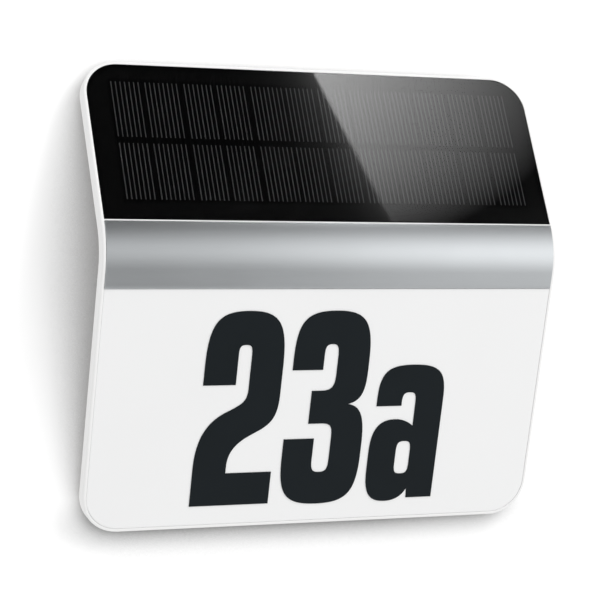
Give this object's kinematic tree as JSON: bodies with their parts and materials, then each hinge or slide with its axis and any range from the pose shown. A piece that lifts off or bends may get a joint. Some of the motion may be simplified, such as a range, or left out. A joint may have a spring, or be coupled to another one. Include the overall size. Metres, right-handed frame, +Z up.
{
  "type": "illuminated house number sign",
  "caption": "Wall sign bent at a horizontal fold: solar panel above, brushed metal bar on the fold, lit opal number panel below; a rear tub with the battery hangs on a bracket.",
  "frame": {"origin": "centre of the wall bracket's back face, midway between its two fixing slots", "axes": "+X to the right seen from the front, -Y out of the wall towards the viewer, +Z up"},
  "size_m": [0.242, 0.0457, 0.2284],
  "materials": {
    "white_moulding": "satin white moulded ABS, fine spark texture",
    "grey_moulding": "light grey moulded ABS, fine spark texture",
    "solar_glass": "tempered clear glass, ground edges",
    "solar_silicon": "black monocrystalline silicon with silver fingers",
    "solar_filler": "black encapsulant film",
    "solar_backing": "black glass-fibre backing sheet",
    "foam_tape": "closed-cell foam tape, matt black",
    "brushed_bar": "anodised aluminium, brushed along its length",
    "clear_tape": "thin translucent double-sided tape",
    "opal_panel": "opal acrylic, satin front",
    "clear_guide": "clear acrylic with a printed dot pattern on its back",
    "reflector_film": "white reflector film",
    "lamp_board": "white solder mask with copper edges",
    "lamp_body": "yellow phosphor in white lamp bodies",
    "numeral_film": "self-adhesive film, near-black, low sheen",
    "circuit_board": "green solder mask with tinned pads",
    "chip_epoxy": "black moulded epoxy",
    "coil_ferrite": "dark ferrite",
    "capacitor_can": "bare aluminium can",
    "socket_nylon": "off-white nylon",
    "screw_steel": "zinc-plated steel",
    "switch_black": "black moulded plastic",
    "knob_black": "black moulded plastic, ribbed",
    "cell_sleeve": "blue shrink sleeve over a steel can",
    "nickel_strip": "nickel-plated spring steel",
    "seal_silicone": "grey silicone rubber",
    "lead_sleeve": "black insulated wire",
    "vent_film": "white porous membrane",
    "bumper_rubber": "soft black rubber",
    "zinc_steel": "zinc-plated sheet steel, 2 mm"
  },
  "bodies": {
    "bracket": {"wall_bracket": "zinc_steel"},
    "lamp": {"front_frame": "white_moulding", "solar_glass": "solar_glass", "solar_cells": "solar_silicon", "solar_encapsulant": "solar_filler", "solar_backing": "solar_backing", "solar_foam_tape": "foam_tape", "accent_bar": "brushed_bar", "bar_tape": "clear_tape", "number_panel": "opal_panel", "panel_tape": "clear_tape", "light_guide": "clear_guide", "reflector_sheet": "reflector_film", "led_board": "lamp_board", "led_lamps": "lamp_body", "numeral_2": "numeral_film", "numeral_3": "numeral_film", "letter_a": "numeral_film", "main_board": "circuit_board", "control_chip": "chip_epoxy", "charge_coil": "coil_ferrite", "storage_capacitor": "capacitor_can", "lead_sockets": "socket_nylon", "switch_body": "switch_black", "rear_tub": "grey_moulding", "tub_gasket": "seal_silicone", "tub_screws": "screw_steel", "battery_cell": "cell_sleeve", "battery_spring": "nickel_strip", "battery_contact": "nickel_strip", "door_gasket": "seal_silicone", "solar_lead": "lead_sleeve", "led_lead": "lead_sleeve", "battery_leads": "lead_sleeve", "vent_membrane": "vent_film", "rear_bumpers": "bumper_rubber"},
    "battery_door": {"battery_door": "grey_moulding"},
    "switch_knob": {"switch_knob": "knob_black"}
  },
  "joints": [
    {"name": "lamp_lift", "type": "slide", "parent": "bracket", "child": "lamp", "axis": [0, 0, 1], "range_m": [0, 0.008]},
    {"name": "battery_door_slide", "type": "slide", "parent": "lamp", "child": "battery_door", "axis": [1, 0, 0], "range_m": [0, 0.012]},
    {"name": "switch_slide", "type": "slide", "parent": "lamp", "child": "switch_knob", "axis": [1, 0, 0], "range_m": [0, 0.004]}
  ]
}
